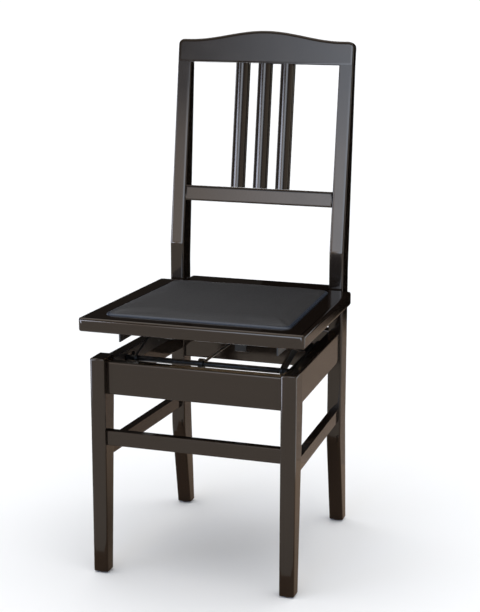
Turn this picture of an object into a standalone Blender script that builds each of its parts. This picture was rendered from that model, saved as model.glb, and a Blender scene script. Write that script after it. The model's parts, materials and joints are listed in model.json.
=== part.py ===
"""Piano chair: lacquered wooden frame with a raked back, and a padded seat on a scissor lift.

Metres, +Z up, the front of the chair towards -Y, the floor at Z = 0. The seat stands part way
up its travel. Each moving group hangs on an empty that sits on its pivot axis.
"""

import math

import bmesh
import bpy
from mathutils import Matrix, Vector

# Fits: glue lines, points that are one, running fits and the play of the seat between the posts
GAP = 0.0003
WELD = 1e-6
ARM_SPACING = 0.0008
POST_PLAY = 0.003

# Chair in plan: front faces of the legs and posts, and the widths over them
LEG_FRONT = -0.2085
POST_FRONT = 0.1415
FRONT_WIDTH = 0.369
BACK_WIDTH = 0.3402

# Front legs
LEG_TOP = 0.392
LEG_WIDTH = 0.0266
LEG_DEPTH = 0.0442
LEG_FOOT_DEPTH = 0.0257

# Rear posts: kicked back at the foot, straight beside the seat, raked above it from a crisp line in front
POST_WIDTH = 0.0266
POST_DEPTH = 0.040
POST_TOP_DEPTH = 0.020
POST_FOOT_DEPTH = 0.0243
POST_KICK = 0.0303
KICK_HEIGHT = 0.1705
BEND_HEIGHT = 0.533
BEND_LAG = 0.033
RAKE = math.radians(8.13)
BEND_RADIUS = 0.16

# Floor glides
GLIDE_HEIGHT = 0.0015
GLIDE_RADIUS = 0.009
GLIDE_CHAMFER = 0.0005

# Seat rails
RAIL_TOP = 0.385
FRONT_RAIL_HEIGHT = 0.0581
SIDE_RAIL_HEIGHT = 0.0562
REAR_RAIL_HEIGHT = 0.075
FRONT_RAIL_THICKNESS = 0.020
SIDE_RAIL_THICKNESS = 0.021
REAR_RAIL_THICKNESS = 0.022
FRONT_RAIL_SETBACK = 0.0123
SIDE_RAIL_INSET = 0.006
SIDE_RAIL_INSET_REAR = 0.0041
REAR_RAIL_SETBACK = 0.0073

# Stretchers: the side ones pass below the front one
FRONT_STRETCHER_BOTTOM = 0.236
FRONT_STRETCHER_HEIGHT = 0.0263
FRONT_STRETCHER_SETBACK = 0.0069
SIDE_STRETCHER_BOTTOM = 0.2092
SIDE_STRETCHER_HEIGHT = 0.0249
SIDE_STRETCHER_INSET = 0.0065
STRETCHER_THICKNESS = 0.0155

# Back, measured up the rake from the bend of the posts
BACK_RAIL_START = 0.0829
BACK_RAIL_HEIGHT = 0.0286
BACK_RAIL_THICKNESS = 0.019
CREST_START = 0.3434
CREST_END_HEIGHT = 0.0419
CREST_ARCH = 0.0172
CREST_ARCH_HALF = 0.148
CREST_CORNER = 0.011
SLAT_WIDTH = 0.0284
SLAT_THICKNESS = 0.013
SLAT_PITCH = 0.0437
SLAT_SETBACK = 0.0005

# Seat board, at the height it stands at in the photograph
SEAT_TOP = 0.4643
SEAT_THICKNESS = 0.0244
SEAT_FRONT = -0.2181
SEAT_FRONT_WIDTH = 0.4012
SEAT_REAR_WIDTH = 0.3772
SEAT_EAR_CLEARANCE = 0.005
SEAT_TONGUE_REACH = 0.0413
SEAT_CORNER = 0.005
SEAT_EAR_CORNER = 0.007

# Pad, let into the seat board, and the board it is upholstered on
PAD_MARGIN_FRONT = 0.0313
PAD_MARGIN_REAR = 0.0167
PAD_MARGIN_SIDE_FRONT = 0.0336
PAD_MARGIN_SIDE_REAR = 0.0366
PAD_CORNER = 0.014
PAD_CROWN = 0.009
PAD_EDGE_RISE = 0.004
PAD_DRAW = 0.0012
PAD_CORNER_POWER = 4
PAD_CROWN_POWER = 4
PAD_SMOOTHING = 1
PAD_LEDGE = 0.010
PAD_LEDGE_THICKNESS = 0.0094
PAD_BOARD_THICKNESS = 0.009

# Scissor lift: two pairs of flat steel arms, seen from the side
ARM_LENGTH = 0.177
SHAFT_BEHIND_RAIL = 0.0524
PIVOT_BELOW_RAIL = 0.0114
PIVOT_BELOW_SEAT = 0.0149
SEAT_TRAVEL_DOWN = 0.031
SEAT_TRAVEL_UP = 0.050
ARM_THICKNESS = 0.004
ARM_END_RADIUS = 0.008
ARM_HALF_HEIGHT = 0.0105
ARM_BLEND = 0.060
PIN_RADIUS = 0.004
PIN_HEAD_RADIUS = 0.0065
PIN_HEAD = 0.002
SPACER_RADIUS = 0.006
SHAFT_RADIUS = 0.005
SHAFT_END_PLAY = 0.0005
SLOT_END_PLAY = 0.001

# Steel angles under the seat that carry the arms' upper ends
ANGLE_BEHIND_RAIL = 0.0015
ANGLE_TAIL = 0.012
ANGLE_DROP = 0.0244
ANGLE_FLANGE = 0.0205
ANGLE_SHEET = 0.0025
ANGLE_PLAY = 0.001

# Steel plates on the side rails that carry the arms' lower ends
PLATE_BEHIND_RAIL = 0.0005
PLATE_TAIL = 0.016
PLATE_HALF_HEIGHT = 0.0114
PLATE_SHEET = 0.003
PLATE_GAP = 0.0006
PLATE_CORNER = 0.006

# Lock: a rod drawn along by the front shaft, gripped by a tilting lever on the rear rail
ROD_X = -0.013
ROD_RADIUS = 0.0025
ROD_OVERRUN = 0.011
EYE_RADIUS = 0.0095
EYE_WIDTH = 0.009
LOCK_WIDTH = 0.034
LOCK_EARS = 0.011
LOCK_BELOW_ROD = 0.015
LOCK_ABOVE_ROD = 0.0165
LOCK_SHEET = 0.0025
LEVER_AHEAD = 0.0488
LEVER_PIN_RISE = 0.011
LEVER_PIN_RADIUS = 0.0025
LEVER_WIDTH = 0.022
LEVER_SHEET = 0.0024
LEVER_DROP = 0.040
LEVER_TAB = 0.020
LEVER_TAB_DROP = 0.006
LEVER_HOLE = 0.004
LEVER_STROKE = math.radians(8)
LEVER_CURL = math.radians(250)
LEVER_CURL_STEPS = 12
SPRING_RADIUS = 0.005
SPRING_WIRE = 0.0006
SPRING_TURNS = 9
SPRING_POINTS = 8

# Edge rounding and facet counts
LEG_ROUND = 0.0025
RAIL_ROUND = 0.0015
SEAT_ROUND = 0.0035
SMALL_ROUND = 0.0008
ROUND_SEGMENTS = 2
ARC_STEPS = 6
CREST_STEPS = 36
SLAT_STEPS = 28
CIRCLE_STEPS = 24
PAD_CUTS = 9
ROD_STEPS = 12
EDGE_ANGLE = math.radians(40)
FLAT_ANGLE = math.radians(0.1)
FILLET_SHARE = 0.49
CUT_REACH = 4

# Values that follow from the sizes above
FRONT_HALF = FRONT_WIDTH / 2
BACK_HALF = BACK_WIDTH / 2
LEG_REAR = LEG_FRONT + LEG_DEPTH
SIDE_RAIL_BOTTOM = RAIL_TOP - SIDE_RAIL_HEIGHT
SIDE_RAIL_OUTER = FRONT_HALF - SIDE_RAIL_INSET
SPLAY = (SIDE_RAIL_OUTER - BACK_HALF + SIDE_RAIL_INSET_REAR) / (POST_FRONT - LEG_REAR)
SEAT_BOTTOM = SEAT_TOP - SEAT_THICKNESS
PAD_FRONT = SEAT_FRONT + PAD_MARGIN_FRONT
SEAT_EAR_REAR = POST_FRONT - SEAT_EAR_CLEARANCE
PAD_REAR = SEAT_EAR_REAR - PAD_MARGIN_REAR
PAD_FRONT_WIDTH = SEAT_FRONT_WIDTH - 2 * PAD_MARGIN_SIDE_FRONT
PAD_REAR_WIDTH = SEAT_REAR_WIDTH - 2 * PAD_MARGIN_SIDE_REAR
FRONT_RAIL_BACK = LEG_FRONT + FRONT_RAIL_SETBACK + FRONT_RAIL_THICKNESS
REAR_RAIL_FRONT = POST_FRONT + REAR_RAIL_SETBACK
PIVOT_Z = RAIL_TOP - PIVOT_BELOW_RAIL
UPPER_PIVOT_Z = SEAT_BOTTOM - PIVOT_BELOW_SEAT
LIFT_REST = UPPER_PIVOT_Z - PIVOT_Z
LIFT_ANGLE = math.asin(LIFT_REST / ARM_LENGTH)
SHAFT_Y_LOW = FRONT_RAIL_BACK + SHAFT_BEHIND_RAIL
PIVOT_Y = SHAFT_Y_LOW + math.sqrt(ARM_LENGTH ** 2 - (LIFT_REST - SEAT_TRAVEL_DOWN) ** 2)
SHAFT_Y = PIVOT_Y - math.sqrt(ARM_LENGTH ** 2 - LIFT_REST ** 2)
SHAFT_Y_HIGH = PIVOT_Y - math.sqrt(ARM_LENGTH ** 2 - (LIFT_REST + SEAT_TRAVEL_UP) ** 2)
LEVER_PIN_Y = REAR_RAIL_FRONT - LEVER_AHEAD
LEVER_PIN_Z = PIVOT_Z + LEVER_PIN_RISE
LEVER_PLANE = LEVER_PIN_RADIUS + GAP + LEVER_SHEET / 2
SIDES = (("left", -1), ("right", 1))

# Orientations: an outline drawn in XY and thickened along Z, stood up to face the side or the front
SIDE_VIEW = (math.pi / 2, 0, math.pi / 2)
FRONT_VIEW = (math.pi / 2, 0, 0)
ACROSS = (0, math.pi / 2, 0)
ALONG = (-math.pi / 2, 0, 0)


def clear_scene():
    for thing in list(bpy.data.objects):
        bpy.data.objects.remove(thing)


def make_collection(name):
    collection = bpy.data.collections.new(name)
    bpy.context.scene.collection.children.link(collection)
    return collection


def make_material(name, colour, roughness, metallic):
    material = bpy.data.materials.new(name)
    material.use_nodes = True
    shader = material.node_tree.nodes["Principled BSDF"]
    shader.inputs["Base Color"].default_value = (*colour, 1)
    shader.inputs["Roughness"].default_value = roughness
    shader.inputs["Metallic"].default_value = metallic
    return material


clear_scene()
CHAIR = make_collection("piano_chair")
CUTTERS = make_collection("cutters")
LACQUER = make_material("black_lacquer", (0.012, 0.011, 0.010), 0.12, 0)
VINYL = make_material("grey_vinyl", (0.036, 0.036, 0.037), 0.45, 0)
PLYWOOD = make_material("plywood", (0.36, 0.25, 0.14), 0.6, 0)
BLACK_STEEL = make_material("black_steel", (0.018, 0.018, 0.019), 0.4, 0.6)
BRIGHT_STEEL = make_material("zinc_plated_steel", (0.45, 0.46, 0.48), 0.3, 1)
NYLON = make_material("brown_nylon", (0.05, 0.035, 0.025), 0.5, 0)


def add_object(name, data, material, parent=None, location=(0, 0, 0), rotation=(0, 0, 0), group=None):
    piece = bpy.data.objects.new(name, data)
    (group or CHAIR).objects.link(piece)
    if material:
        data.materials.clear()
        data.materials.append(material)
    piece.parent = parent
    piece.location = location
    piece.rotation_euler = rotation
    return piece


def add_pivot(name, location, rotation=(0, 0, 0)):
    return add_object(name, None, None, None, location, rotation)


def round_edges(piece, width, segments=ROUND_SEGMENTS, is_seam=None):
    """Rounds the sharp edges of a piece, apart from those that lie on a glued seam."""
    shape = bmesh.new()
    shape.from_mesh(piece.data)
    weights = shape.edges.layers.float.new("bevel_weight_edge")
    for edge in shape.edges:
        middle = (edge.verts[0].co + edge.verts[1].co) / 2
        seam = is_seam is not None and is_seam(middle)
        edge[weights] = 1 if edge.calc_face_angle(0) > EDGE_ANGLE and not seam else 0
    shape.to_mesh(piece.data)
    shape.free()
    bevel = piece.modifiers.new("rounded_edges", "BEVEL")
    bevel.width = width
    bevel.segments = segments
    bevel.limit_method = "WEIGHT"
    return piece


def as_cutter(piece):
    piece.hide_render = True
    piece.display_type = "WIRE"
    return piece


def cut(piece, cutter):
    boolean = piece.modifiers.new("cut", "BOOLEAN")
    boolean.operation = "DIFFERENCE"
    boolean.object = as_cutter(cutter)
    return piece


def mesh_of(thing):
    """The evaluated mesh of a curve, with its loose caps welded on."""
    bpy.context.view_layer.update()
    evaluated = thing.evaluated_get(bpy.context.evaluated_depsgraph_get())
    mesh = bpy.data.meshes.new_from_object(evaluated)
    shape = bmesh.new()
    shape.from_mesh(mesh)
    bmesh.ops.remove_doubles(shape, verts=shape.verts, dist=WELD)
    bmesh.ops.recalc_face_normals(shape, faces=shape.faces)
    shape.to_mesh(mesh)
    shape.free()
    bpy.data.objects.remove(thing)
    return mesh


def outline_mesh(name, outlines, thickness):
    """A flat plate: the first outline is its edge, and any others are holes through it."""
    curve = bpy.data.curves.new(name, "CURVE")
    curve.dimensions = "2D"
    curve.fill_mode = "BOTH"
    curve.extrude = thickness / 2
    for outline in outlines:
        spline = curve.splines.new("POLY")
        spline.points.add(len(outline) - 1)
        for point, (x, y) in zip(spline.points, outline):
            point.co = (x, y, 0, 1)
        spline.use_cyclic_u = True
    mesh = mesh_of(add_object(name, curve, None))
    if len(outlines) == 1:
        shape = bmesh.new()
        shape.from_mesh(mesh)
        caps = [edge for edge in shape.edges if edge.calc_face_angle(0) < FLAT_ANGLE]
        bmesh.ops.dissolve_edges(shape, edges=caps, use_verts=False)
        shape.to_mesh(mesh)
        shape.free()
    return mesh


def fillet(corners, steps=ARC_STEPS):
    """Outline through corners (x, y, radius), each corner rounded by an arc of its radius."""
    points = []
    for index, (x, y, radius) in enumerate(corners):
        here = Vector((x, y))
        back = Vector(corners[index - 1][:2]) - here
        ahead = Vector(corners[(index + 1) % len(corners)][:2]) - here
        if radius == 0:
            points.append((x, y))
            continue
        half = back.angle(ahead) / 2
        reach = min(radius / math.tan(half), FILLET_SHARE * back.length, FILLET_SHARE * ahead.length)
        radius = reach * math.tan(half)
        bisector = (back.normalized() + ahead.normalized()).normalized()
        centre = here + bisector * radius / math.sin(half)
        start = here + back.normalized() * reach - centre
        turn = start.angle_signed(here + ahead.normalized() * reach - centre)
        for step in range(steps + 1):
            arm = Matrix.Rotation(-turn * step / steps, 2) @ start
            points.append(tuple(centre + arm))
    return points


def circle(x, y, radius, steps=CIRCLE_STEPS):
    turns = [2 * math.pi * step / steps for step in range(steps)]
    return [(x + radius * math.cos(turn), y + radius * math.sin(turn)) for turn in turns]


def strip_outline(path, thickness):
    """Outline of a bent strip: its middle line drawn out to both faces, mitred at the bends."""
    faces = ([], [])
    for index, here in enumerate(path):
        before = (here - path[index - 1]).normalized() if index else None
        after = (path[index + 1] - here).normalized() if index + 1 < len(path) else None
        along = ((before or after) + (after or before)).normalized()
        spread = thickness / 2 / along.dot(after or before)
        across = Vector((-along.y, along.x)) * spread
        faces[0].append(tuple(here + across))
        faces[1].append(tuple(here - across))
    return faces[0] + faces[1][::-1]


def block(name, material, low, high, rounding, parent=None):
    """A box between two corners with rounded edges, sharp at the ends that are glued."""
    mesh = bpy.data.meshes.new(name)
    shape = bmesh.new()
    bmesh.ops.create_cube(shape, size=1)
    size = Vector(high) - Vector(low)
    middle = (Vector(high) + Vector(low)) / 2
    bmesh.ops.scale(shape, vec=size, verts=shape.verts)
    shape.to_mesh(mesh)
    shape.free()
    piece = add_object(name, mesh, material, parent, middle)
    return round_edges(piece, rounding, is_seam=lambda spot: abs(spot.x) > size.x / 2 - GAP)


def cylinder_mesh(name, radius, length, steps=CIRCLE_STEPS):
    mesh = bpy.data.meshes.new(name)
    shape = bmesh.new()
    bmesh.ops.create_cone(
        shape, cap_ends=True, segments=steps, radius1=radius, radius2=radius, depth=length
    )
    shape.to_mesh(mesh)
    shape.free()
    mesh.shade_smooth()
    mesh.set_sharp_from_angle(angle=EDGE_ANGLE)
    return mesh


def turned(name, profile, material, parent=None, location=(0, 0, 0), rotation=(0, 0, 0)):
    """A turned solid: the profile (radius, height) runs from its top on the axis to its bottom."""
    mesh = bpy.data.meshes.new(name)
    points = [(radius, 0, height) for radius, height in profile]
    mesh.from_pydata(points, [(i, i + 1) for i in range(len(points) - 1)], [])
    piece = add_object(name, mesh, material, parent, location, rotation)
    screw = piece.modifiers.new("turned", "SCREW")
    screw.steps = CIRCLE_STEPS
    screw.render_steps = CIRCLE_STEPS
    screw.use_merge_vertices = True
    screw.merge_threshold = WELD
    screw.use_smooth_shade = False
    return piece


def splayed(mesh, side):
    """Shears a side piece so that it runs from the wide front legs to the narrower posts."""
    shear = Matrix.Identity(4)
    shear[0][1] = -side * SPLAY
    shear[0][3] = side * SPLAY * LEG_REAR
    mesh.transform(shear)
    return mesh


def upright_mesh(name, outlines, thickness, x):
    """A side-view outline (y, z) thickened across the chair around the plane X = x."""
    mesh = outline_mesh(name, outlines, thickness)
    turn = Matrix(((0, 0, 1, x), (1, 0, 0, 0), (0, 1, 0, 0), (0, 0, 0, 1)))
    mesh.transform(turn)
    return mesh


def side_rail_inner(y):
    """Distance of the side rails' inner faces from the middle of the chair."""
    return SIDE_RAIL_OUTER - SIDE_RAIL_THICKNESS - SPLAY * (y - LEG_REAR)


def leg_rear_at(height):
    """Rear face of a front leg, which tapers below the rails."""
    rail_bottom = RAIL_TOP - FRONT_RAIL_HEIGHT
    share = min(height / rail_bottom, 1)
    return LEG_FRONT + LEG_FOOT_DEPTH + (LEG_DEPTH - LEG_FOOT_DEPTH) * share


def make_front_legs():
    rail_bottom = RAIL_TOP - FRONT_RAIL_HEIGHT
    profile = [
        (LEG_FRONT, GLIDE_HEIGHT + GAP),
        (leg_rear_at(GLIDE_HEIGHT), GLIDE_HEIGHT + GAP),
        (LEG_REAR, rail_bottom),
        (LEG_REAR, LEG_TOP),
        (LEG_FRONT, LEG_TOP),
    ]
    for word, side in SIDES:
        name = f"front_leg_{word}"
        mesh = upright_mesh(name, [profile], LEG_WIDTH, side * (FRONT_HALF - LEG_WIDTH / 2))
        round_edges(add_object(name, mesh, LACQUER), LEG_ROUND)


def up_the_rake(distance, behind=0):
    """Point (y, z) at a distance up the raked front face of the posts, and behind it."""
    y = POST_FRONT + distance * math.sin(RAKE) + behind * math.cos(RAKE)
    z = BEND_HEIGHT + distance * math.cos(RAKE) - behind * math.sin(RAKE)
    return y, z


def distance_up_rake(spot):
    """How far up the raked part of the back a point lies."""
    return (spot.y - POST_FRONT) * math.sin(RAKE) + (spot.z - BEND_HEIGHT) * math.cos(RAKE)


def make_rear_posts():
    post_rear = POST_FRONT + POST_DEPTH
    foot = POST_FRONT + POST_KICK
    profile = fillet([
        (foot, GLIDE_HEIGHT + GAP, 0),
        (foot + POST_FOOT_DEPTH, GLIDE_HEIGHT + GAP, 0),
        (post_rear, KICK_HEIGHT + BEND_LAG, BEND_RADIUS),
        (post_rear, BEND_HEIGHT - BEND_LAG, BEND_RADIUS),
        (*up_the_rake(CREST_START - GAP, POST_TOP_DEPTH), 0),
        (*up_the_rake(CREST_START - GAP), 0),
        (POST_FRONT, BEND_HEIGHT, 0),
        (POST_FRONT, KICK_HEIGHT, BEND_RADIUS),
    ])
    for word, side in SIDES:
        name = f"rear_post_{word}"
        mesh = upright_mesh(name, [profile], POST_WIDTH, side * (BACK_HALF - POST_WIDTH / 2))
        post = add_object(name, mesh, LACQUER)
        round_edges(post, LEG_ROUND, is_seam=lambda spot: distance_up_rake(spot) > CREST_START - 2 * GAP)


def make_glides():
    profile = [
        (0, GLIDE_HEIGHT),
        (GLIDE_RADIUS, GLIDE_HEIGHT),
        (GLIDE_RADIUS, GLIDE_CHAMFER),
        (GLIDE_RADIUS - GLIDE_CHAMFER, 0),
        (0, 0),
    ]
    front = LEG_FRONT + LEG_FOOT_DEPTH / 2
    rear = POST_FRONT + POST_KICK + POST_FOOT_DEPTH / 2
    for word, side in SIDES:
        leg = side * (FRONT_HALF - LEG_WIDTH / 2)
        post = side * (BACK_HALF - POST_WIDTH / 2)
        turned(f"floor_glide_front_{word}", profile, NYLON, None, (leg, front, 0))
        turned(f"floor_glide_rear_{word}", profile, NYLON, None, (post, rear, 0))


def make_seat_rails():
    half = FRONT_HALF - LEG_WIDTH - GAP
    front = LEG_FRONT + FRONT_RAIL_SETBACK
    low = (-half, front, RAIL_TOP - FRONT_RAIL_HEIGHT)
    block("front_rail", LACQUER, low, (half, front + FRONT_RAIL_THICKNESS, RAIL_TOP), RAIL_ROUND)
    half = BACK_HALF - POST_WIDTH - GAP
    low = (-half, REAR_RAIL_FRONT, RAIL_TOP - REAR_RAIL_HEIGHT)
    high = (half, REAR_RAIL_FRONT + REAR_RAIL_THICKNESS, RAIL_TOP)
    block("rear_rail", LACQUER, low, high, RAIL_ROUND)
    side_pieces("side_rail", SIDE_RAIL_BOTTOM, SIDE_RAIL_HEIGHT, SIDE_RAIL_THICKNESS, SIDE_RAIL_INSET)


def meets_leg_or_post(spot):
    return spot.y < leg_rear_at(spot.z) + 2 * GAP or spot.y > POST_FRONT - 2 * GAP


def side_pieces(name, bottom, height, thickness, inset):
    """A rail or stretcher on each side, glued between a front leg and a rear post."""
    top = bottom + height
    profile = [
        (leg_rear_at(bottom) + GAP, bottom),
        (POST_FRONT - GAP, bottom),
        (POST_FRONT - GAP, top),
        (leg_rear_at(top) + GAP, top),
    ]
    for word, side in SIDES:
        middle = side * (FRONT_HALF - inset - thickness / 2)
        mesh = splayed(upright_mesh(name, [profile], thickness, middle), side)
        piece = add_object(f"{name}_{word}", mesh, LACQUER)
        round_edges(piece, RAIL_ROUND, is_seam=meets_leg_or_post)


def make_stretchers():
    half = FRONT_HALF - LEG_WIDTH - GAP
    front = LEG_FRONT + FRONT_STRETCHER_SETBACK
    low = (-half, front, FRONT_STRETCHER_BOTTOM)
    top = FRONT_STRETCHER_BOTTOM + FRONT_STRETCHER_HEIGHT
    block("front_stretcher", LACQUER, low, (half, front + STRETCHER_THICKNESS, top), RAIL_ROUND)
    side_pieces(
        "side_stretcher",
        SIDE_STRETCHER_BOTTOM,
        SIDE_STRETCHER_HEIGHT,
        STRETCHER_THICKNESS,
        SIDE_STRETCHER_INSET,
    )


def crest_outline():
    """Serpentine top: level at the ends, hollow at the shoulders and arched in the middle."""
    top = []
    for step in range(CREST_STEPS + 1):
        x = CREST_ARCH_HALF * (1 - 2 * step / CREST_STEPS)
        rise = CREST_ARCH * (1 + math.cos(math.pi * x / CREST_ARCH_HALF)) / 2
        top.append((x, CREST_END_HEIGHT + rise, 0))
    ends = [(-BACK_HALF, CREST_END_HEIGHT, CREST_CORNER), (-BACK_HALF, 0, 0), (BACK_HALF, 0, 0)]
    return fillet(top + ends + [(BACK_HALF, CREST_END_HEIGHT, CREST_CORNER)])


def slat_outline():
    """Plan of a slat: half round in front, flat behind."""
    half = SLAT_WIDTH / 2
    flat = -SLAT_THICKNESS / 2
    outline = [(half, flat, SMALL_ROUND)]
    for step in range(1, SLAT_STEPS):
        turn = math.pi * step / SLAT_STEPS
        outline.append((half * math.cos(turn), flat + SLAT_THICKNESS * math.sin(turn), 0))
    return fillet(outline + [(-half, flat, SMALL_ROUND)], ROUND_SEGMENTS)


def make_back():
    rake = add_pivot("raked_back", (0, POST_FRONT, BEND_HEIGHT), (math.pi / 2 - RAKE, 0, 0))
    mesh = outline_mesh("crest_rail", [crest_outline()], POST_TOP_DEPTH)
    crest = add_object("crest_rail", mesh, LACQUER, rake, (0, CREST_START, -POST_TOP_DEPTH / 2))
    round_edges(crest, LEG_ROUND, is_seam=lambda spot: spot.y < GAP)
    half = BACK_HALF - POST_WIDTH - GAP
    rail_top = BACK_RAIL_START + BACK_RAIL_HEIGHT
    low = (-half, BACK_RAIL_START, -BACK_RAIL_THICKNESS)
    block("back_lower_rail", LACQUER, low, (half, rail_top, 0), RAIL_ROUND, rake)
    length = CREST_START - rail_top - 2 * GAP
    middle = (CREST_START + rail_top) / 2
    behind = -SLAT_SETBACK - SLAT_THICKNESS / 2
    for word, place in (("left", -1), ("centre", 0), ("right", 1)):
        name = f"back_slat_{word}"
        mesh = outline_mesh(name, [slat_outline()], length)
        add_object(name, mesh, LACQUER, rake, (place * SLAT_PITCH, middle, behind), FRONT_VIEW)


def pad_half_width(y, inset=0):
    """Half the width of the pad's trapezoid at a place along its depth."""
    share = (y - PAD_FRONT) / (PAD_REAR - PAD_FRONT)
    return (PAD_FRONT_WIDTH + (PAD_REAR_WIDTH - PAD_FRONT_WIDTH) * share) / 2 - inset


def pad_outline(inset):
    front = PAD_FRONT + inset
    rear = PAD_REAR - inset
    corner = PAD_CORNER - inset if PAD_CORNER > 2 * inset else PAD_CORNER / 2
    return fillet([
        (-pad_half_width(front, inset), front, corner),
        (pad_half_width(front, inset), front, corner),
        (pad_half_width(rear, inset), rear, corner),
        (-pad_half_width(rear, inset), rear, corner),
    ])


def make_seat_frame(seat):
    tongue = BACK_HALF - POST_WIDTH - POST_PLAY
    front_half = SEAT_FRONT_WIDTH / 2
    rear_half = SEAT_REAR_WIDTH / 2
    half_outline = [
        (front_half, SEAT_FRONT, SEAT_CORNER),
        (rear_half, SEAT_EAR_REAR, SEAT_EAR_CORNER),
        (tongue, SEAT_EAR_REAR, 0),
        (tongue, POST_FRONT + SEAT_TONGUE_REACH, SEAT_EAR_CORNER),
    ]
    mirrored = [(-x, y, radius) for x, y, radius in reversed(half_outline)]
    mesh = outline_mesh("seat_frame", [fillet(half_outline + mirrored)], SEAT_THICKNESS)
    mesh.transform(Matrix.Translation((0, 0, SEAT_BOTTOM + SEAT_THICKNESS / 2)))
    mesh.transform(seat.matrix_world.inverted())
    frame = round_edges(add_object("seat_frame", mesh, LACQUER, seat), SEAT_ROUND)
    ledge_top = SEAT_BOTTOM + PAD_LEDGE_THICKNESS
    recess = ("pad_recess", 0, ledge_top)
    window = ("pad_window", PAD_LEDGE, SEAT_BOTTOM - PAD_LEDGE)
    for name, inset, low in (recess, window):
        depth = SEAT_TOP + SEAT_THICKNESS - low
        cutter_mesh = outline_mesh(name, [pad_outline(inset)], depth)
        cutter_mesh.transform(Matrix.Translation((0, 0, low + depth / 2)))
        cutter_mesh.transform(seat.matrix_world.inverted())
        cut(frame, add_object(name, cutter_mesh, None, seat, group=CUTTERS))
    board_mesh = outline_mesh("pad_board", [pad_outline(2 * GAP)], PAD_BOARD_THICKNESS)
    board_mesh.transform(Matrix.Translation((0, 0, ledge_top + GAP + PAD_BOARD_THICKNESS / 2)))
    board_mesh.transform(seat.matrix_world.inverted())
    add_object("pad_board", board_mesh, PLYWOOD, seat)


def pad_point(u, v, w):
    """Point of the pad for a place on a cube: crowned above, drawn in between its corners."""
    u = math.sin(u * math.pi / 2)
    v = math.sin(v * math.pi / 2)
    bottom = SEAT_BOTTOM + PAD_LEDGE_THICKNESS + PAD_BOARD_THICKNESS + 2 * GAP
    edge = SEAT_TOP + PAD_EDGE_RISE
    middle = (PAD_FRONT + PAD_REAR) / 2
    half_depth = (PAD_REAR - PAD_FRONT) / 2 - 2 * GAP
    reach = max(abs(u), abs(v))
    diagonal = math.hypot(u, v) / reach - 1 if reach else 0
    corner = 1 - diagonal * PAD_CORNER / half_depth * reach ** PAD_CORNER_POWER
    y = middle + half_depth * v * corner - PAD_DRAW * v * (1 - u * u)
    half_width = pad_half_width(y, 2 * GAP)
    x = half_width * u * corner - PAD_DRAW * u * (1 - v * v)
    fullness = math.sqrt((1 - u ** PAD_CROWN_POWER) * (1 - v ** PAD_CROWN_POWER))
    crown = (PAD_CROWN - PAD_EDGE_RISE) * fullness
    z = bottom if w < 0 else edge + crown if w > 0 else (bottom + SEAT_TOP) / 2
    return Vector((x, y, z))


def is_level(edge):
    return edge.verts[0].co.z == edge.verts[1].co.z


def make_seat_pad(seat):
    mesh = bpy.data.meshes.new("seat_pad")
    shape = bmesh.new()
    bmesh.ops.create_cube(shape, size=2)
    upright = [edge for edge in shape.edges if not is_level(edge)]
    bmesh.ops.subdivide_edges(shape, edges=upright, cuts=1, use_grid_fill=True)
    level = [edge for edge in shape.edges if is_level(edge)]
    bmesh.ops.subdivide_edges(shape, edges=level, cuts=PAD_CUTS, use_grid_fill=True)
    to_seat = seat.matrix_world.inverted()
    for vertex in shape.verts:
        vertex.co = to_seat @ pad_point(*vertex.co)
    shape.to_mesh(mesh)
    shape.free()
    pad = add_object("seat_pad", mesh, VINYL, seat)
    smooth = pad.modifiers.new("soft_form", "SUBSURF")
    smooth.levels = PAD_SMOOTHING
    smooth.render_levels = PAD_SMOOTHING
    mesh.shade_smooth()


def slot_outline(level, half_height):
    """A slot with round ends along Y, for a pin that slides as the seat goes up and down."""
    front = SHAFT_Y_LOW - SLOT_END_PLAY - half_height
    back = SHAFT_Y_HIGH + SLOT_END_PLAY + half_height
    return fillet([
        (front, level - half_height, half_height),
        (back, level - half_height, half_height),
        (back, level + half_height, half_height),
        (front, level + half_height, half_height),
    ])


def angle_inner():
    """Inner face of the seat angles, which drop inside the rail plates with a little play."""
    plate = side_rail_inner(PIVOT_Y + ANGLE_TAIL) - PLATE_GAP - PLATE_SHEET
    return plate - ANGLE_PLAY - ANGLE_SHEET


def make_seat_angles(seat):
    """Angles screwed under the seat: slotted for the slide pins, with the upper pivots at the rear."""
    level = SEAT_BOTTOM - GAP - ANGLE_SHEET / 2
    front = FRONT_RAIL_BACK + ANGLE_BEHIND_RAIL
    rear = PIVOT_Y + ANGLE_TAIL
    to_seat = seat.matrix_world.inverted()
    for word, side in SIDES:
        plane = angle_inner() + ANGLE_SHEET / 2
        path = [
            Vector((side * (plane + ANGLE_FLANGE), level)),
            Vector((side * plane, level)),
            Vector((side * plane, SEAT_BOTTOM - ANGLE_DROP)),
        ]
        name = f"seat_angle_{word}"
        mesh = outline_mesh(name, [strip_outline(path, ANGLE_SHEET)], rear - front)
        mesh.transform(Matrix.Rotation(math.pi / 2, 4, "X"))
        mesh.transform(Matrix.Translation((0, (rear + front) / 2, 0)))
        mesh.transform(to_seat)
        angle = add_object(name, mesh, BLACK_STEEL, seat)
        slot = slot_outline(UPPER_PIVOT_Z, PIN_RADIUS + GAP)
        cutter_name = f"angle_slot_{word}"
        cutter = upright_mesh(cutter_name, [slot], CUT_REACH * ANGLE_SHEET, side * plane)
        cutter.transform(to_seat)
        cut(angle, add_object(cutter_name, cutter, None, seat, group=CUTTERS))


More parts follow.
